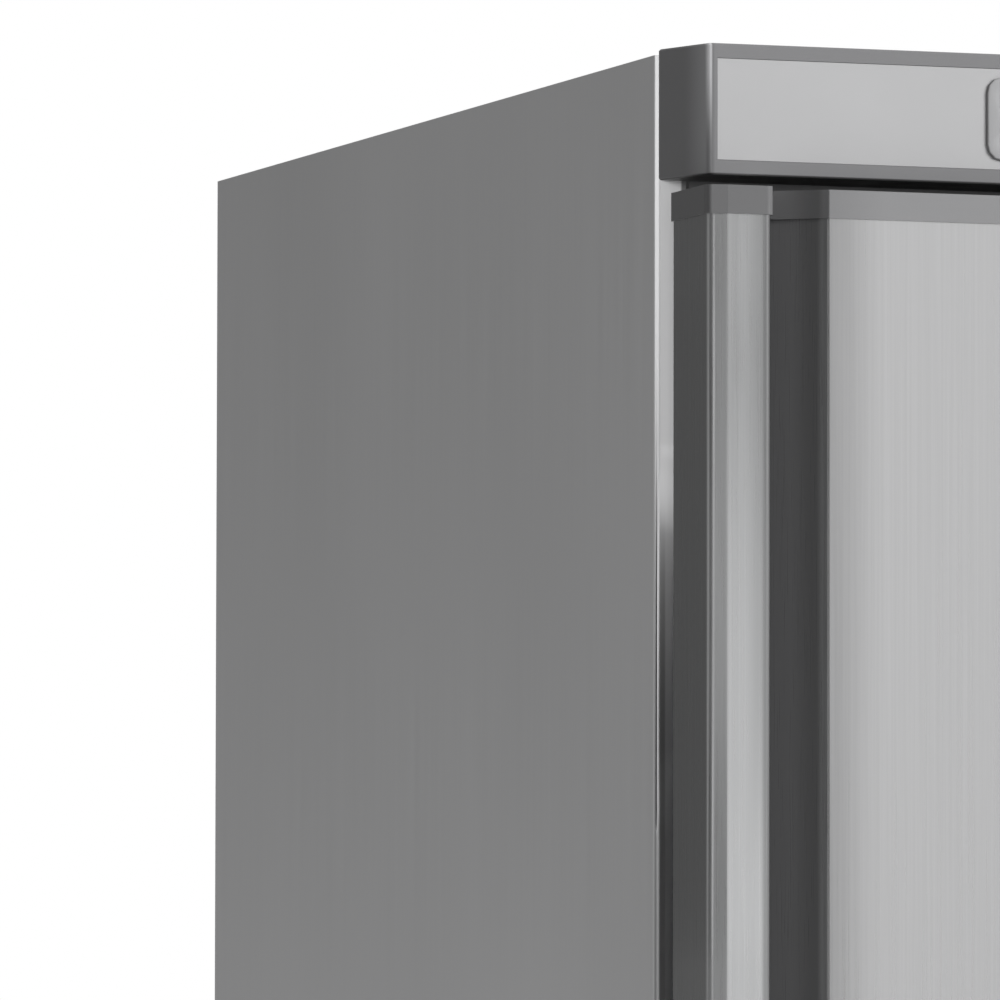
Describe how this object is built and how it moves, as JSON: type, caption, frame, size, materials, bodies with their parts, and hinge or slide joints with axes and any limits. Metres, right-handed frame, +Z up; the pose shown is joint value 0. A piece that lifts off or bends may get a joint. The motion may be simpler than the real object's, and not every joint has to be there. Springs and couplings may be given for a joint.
{
  "type": "refrigerator",
  "caption": "Upright single-door storage refrigerator with a steel cabinet, full-height finger pull, control fascia above the door, wire shelves and a rear machine bay.",
  "frame": {"origin": "middle of the overall box on the floor, midway between the fascia's ends and between the door's face and the rear bumpers", "axes": "+Z up, -Y towards the person in front of the door, +X towards the hinge side"},
  "size_m": [0.6, 0.6, 1.85],
  "materials": {
    "cabinet_steel": "satin",
    "door_steel": "satin",
    "galvanised_steel": "satin",
    "black_steel": "satin",
    "plated_steel": "satin",
    "handle_aluminium": "satin",
    "cap_plastic": "satin",
    "fascia_plastic": "satin",
    "insert_plastic": "satin",
    "control_plastic": "satin",
    "key_plastic": "satin",
    "display_glass": "gloss",
    "grille_plastic": "satin",
    "liner_plastic": "satin",
    "insulation": "matte",
    "seal_rubber": "matte",
    "dark_plastic": "satin",
    "grey_plastic": "satin",
    "shelf_coat": "satin",
    "lamp_diffuser": "gloss",
    "evaporator_aluminium": "satin",
    "copper": "satin",
    "roller_nylon": "satin",
    "magnet_alloy": "matte",
    "grommet_rubber": "matte"
  },
  "bodies": {
    "cabinet": {"side_panel_left": "cabinet_steel", "side_panel_right": "cabinet_steel", "top_panel": "cabinet_steel", "front_rails": "cabinet_steel", "rear_panel": "galvanised_steel", "machine_bay_panel": "galvanised_steel", "base_pan": "galvanised_steel", "roller_brackets": "plated_steel", "inner_liner": "liner_plastic", "cabinet_foam": "insulation", "rear_bumpers": "dark_plastic", "fascia_frame": "fascia_plastic", "fascia_insert": "insert_plastic", "controller_housing": "control_plastic", "controller_display": "display_glass", "door_switch": "dark_plastic", "base_grille": "grille_plastic", "screws": "plated_steel", "hinge_bracket_top": "plated_steel", "hinge_bracket_bottom": "plated_steel", "hinge_pins": "plated_steel", "lamp_base": "grey_plastic", "lamp_cover": "lamp_diffuser", "fan_housing": "grey_plastic", "fan_motor": "black_steel", "evaporator_plate": "evaporator_aluminium", "drip_gutter": "liner_plastic", "drain_tube": "grey_plastic", "temperature_probe": "grey_plastic", "compressor": "black_steel", "compressor_grommets": "grommet_rubber", "relay_box": "dark_plastic", "evaporation_tray": "dark_plastic", "condenser_tube": "black_steel", "condenser_wires": "black_steel", "filter_drier": "copper", "refrigerant_lines": "copper", "power_inlet": "dark_plastic"},
    "door": {"handle_profile": "handle_aluminium", "door_skin": "door_steel", "door_cap_top": "cap_plastic", "door_cap_bottom": "cap_plastic", "door_inner_panel": "liner_plastic", "door_foam": "insulation", "door_magnet": "magnet_alloy", "door_gasket": "seal_rubber", "hinge_bushes": "dark_plastic"},
    "foot_left": {"foot_left": "dark_plastic"},
    "foot_right": {"foot_right": "dark_plastic"},
    "roller_left": {"roller_left": "roller_nylon"},
    "roller_right": {"roller_right": "roller_nylon"},
    "fan_rotor": {"fan_rotor": "grey_plastic"},
    "button_set": {"button_set": "key_plastic"},
    "button_up": {"button_up": "key_plastic"},
    "button_standby": {"button_standby": "key_plastic"},
    "button_down": {"button_down": "key_plastic"},
    "shelf_1": {"shelf_1": "shelf_coat"},
    "shelf_2": {"shelf_2": "shelf_coat"},
    "shelf_3": {"shelf_3": "shelf_coat"},
    "shelf_4": {"shelf_4": "shelf_coat"}
  },
  "joints": [
    {"name": "door_hinge", "type": "hinge", "parent": "cabinet", "child": "door", "pos_m": [0.286, -0.278, 0], "axis": [0, 0, 1], "range_deg": [0, 115]},
    {"name": "foot_left_screw", "type": "slide", "parent": "cabinet", "child": "foot_left", "axis": [0, 0, 1], "range_m": [-0.012, 0.012]},
    {"name": "roller_left_spin", "type": "hinge", "parent": "cabinet", "child": "roller_left", "pos_m": [-0.25, 0.258, 0.0175], "axis": [1, 0, 0], "continuous": true},
    {"name": "foot_right_screw", "type": "slide", "parent": "cabinet", "child": "foot_right", "axis": [0, 0, 1], "range_m": [-0.012, 0.012]},
    {"name": "roller_right_spin", "type": "hinge", "parent": "cabinet", "child": "roller_right", "pos_m": [0.25, 0.258, 0.0175], "axis": [1, 0, 0], "continuous": true},
    {"name": "fan_spin", "type": "hinge", "parent": "cabinet", "child": "fan_rotor", "pos_m": [0, 0.1945, 1.638], "axis": [0, 1, 0], "continuous": true},
    {"name": "press_set", "type": "slide", "parent": "cabinet", "child": "button_set", "axis": [0, 1, 0], "range_m": [0, 0.0008], "stiffness_N_per_m": 400},
    {"name": "press_up", "type": "slide", "parent": "cabinet", "child": "button_up", "axis": [0, 1, 0], "range_m": [0, 0.0008], "stiffness_N_per_m": 400},
    {"name": "press_standby", "type": "slide", "parent": "cabinet", "child": "button_standby", "axis": [0, 1, 0], "range_m": [0, 0.0008], "stiffness_N_per_m": 400},
    {"name": "press_down", "type": "slide", "parent": "cabinet", "child": "button_down", "axis": [0, 1, 0], "range_m": [0, 0.0008], "stiffness_N_per_m": 400},
    {"name": "shelf_1_lift", "type": "slide", "parent": "cabinet", "child": "shelf_1", "axis": [0, 0, 1], "range_m": [0, 0.03]},
    {"name": "shelf_2_lift", "type": "slide", "parent": "cabinet", "child": "shelf_2", "axis": [0, 0, 1], "range_m": [0, 0.03]},
    {"name": "shelf_3_lift", "type": "slide", "parent": "cabinet", "child": "shelf_3", "axis": [0, 0, 1], "range_m": [0, 0.03]},
    {"name": "shelf_4_lift", "type": "slide", "parent": "cabinet", "child": "shelf_4", "axis": [0, 0, 1], "range_m": [0, 0.03]}
  ]
}
